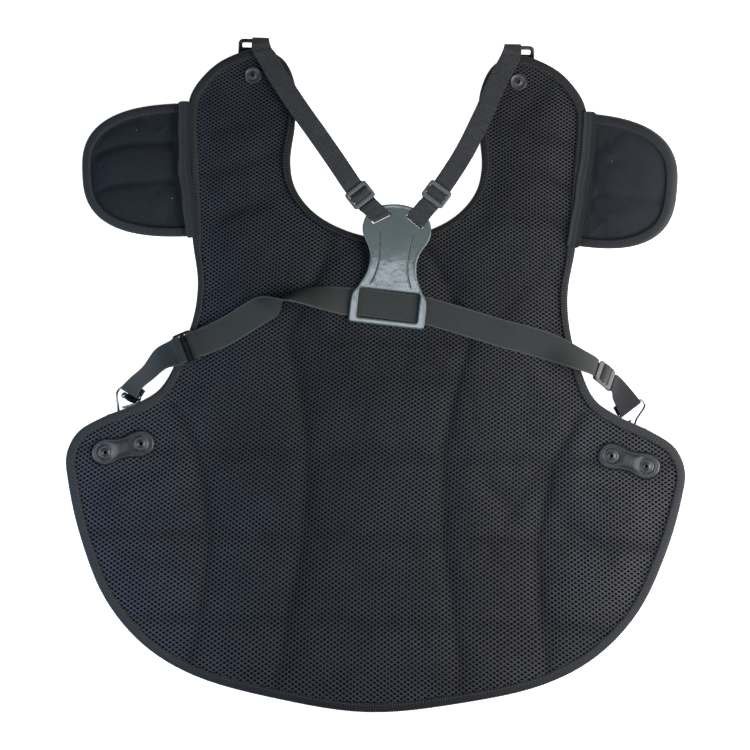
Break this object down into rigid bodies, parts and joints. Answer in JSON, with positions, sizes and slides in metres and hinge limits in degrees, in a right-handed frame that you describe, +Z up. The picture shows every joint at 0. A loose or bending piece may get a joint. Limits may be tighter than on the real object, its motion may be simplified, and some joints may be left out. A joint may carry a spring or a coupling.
{
  "type": "catcher chest protector",
  "caption": "Quilted foam torso pad with mesh lining, bound edge, sewn shoulder caps and a harness of webbing, elastic, sliders, a moulded back plate and wire hooks; lies inner face up.",
  "frame": {"origin": "On the surface that the part lies on, under the middle of its box", "axes": "+Y runs from the hem to the shoulders, +X to the wearer's right, and +Z up, out of the mesh-lined inner face"},
  "size_m": [0.555, 0.6053, 0.067],
  "materials": {
    "lining": "open hexagonal mesh over dark foam cloth",
    "cap_cloth": "plain matt woven cloth",
    "tape": "ribbed woven tape",
    "webbing": "close woven webbing and elastic",
    "grey_plastic": "smooth moulded, slightly glossy",
    "black_plastic": "smooth moulded, glossy",
    "rivet_metal": "dark lacquered",
    "chrome": "bright plated wire"
  },
  "bodies": {
    "root": {"body_pad": "lining", "body_binding": "tape", "left_shoulder_cap": "cap_cloth", "right_shoulder_cap": "cap_cloth", "left_cap_binding": "tape", "right_cap_binding": "tape", "left_cap_seam_tape": "tape", "right_cap_seam_tape": "tape", "left_shoulder_loop": "black_plastic", "right_shoulder_loop": "black_plastic", "left_shoulder_rivet": "rivet_metal", "right_shoulder_rivet": "rivet_metal", "left_flank_plate": "black_plastic", "right_flank_plate": "black_plastic", "left_side_anchor": "black_plastic", "right_side_anchor": "black_plastic", "left_flank_rivet_inner": "rivet_metal", "left_flank_rivet_outer": "rivet_metal", "right_flank_rivet_inner": "rivet_metal", "right_flank_rivet_outer": "rivet_metal", "back_plate": "grey_plastic", "left_shoulder_strap": "webbing", "right_shoulder_strap": "webbing", "left_shoulder_slider": "grey_plastic", "right_shoulder_slider": "grey_plastic", "left_waist_slider": "grey_plastic", "right_waist_slider": "grey_plastic", "waist_strap": "webbing", "left_waist_hook": "chrome", "right_waist_hook": "chrome"}
  },
  "joints": []
}
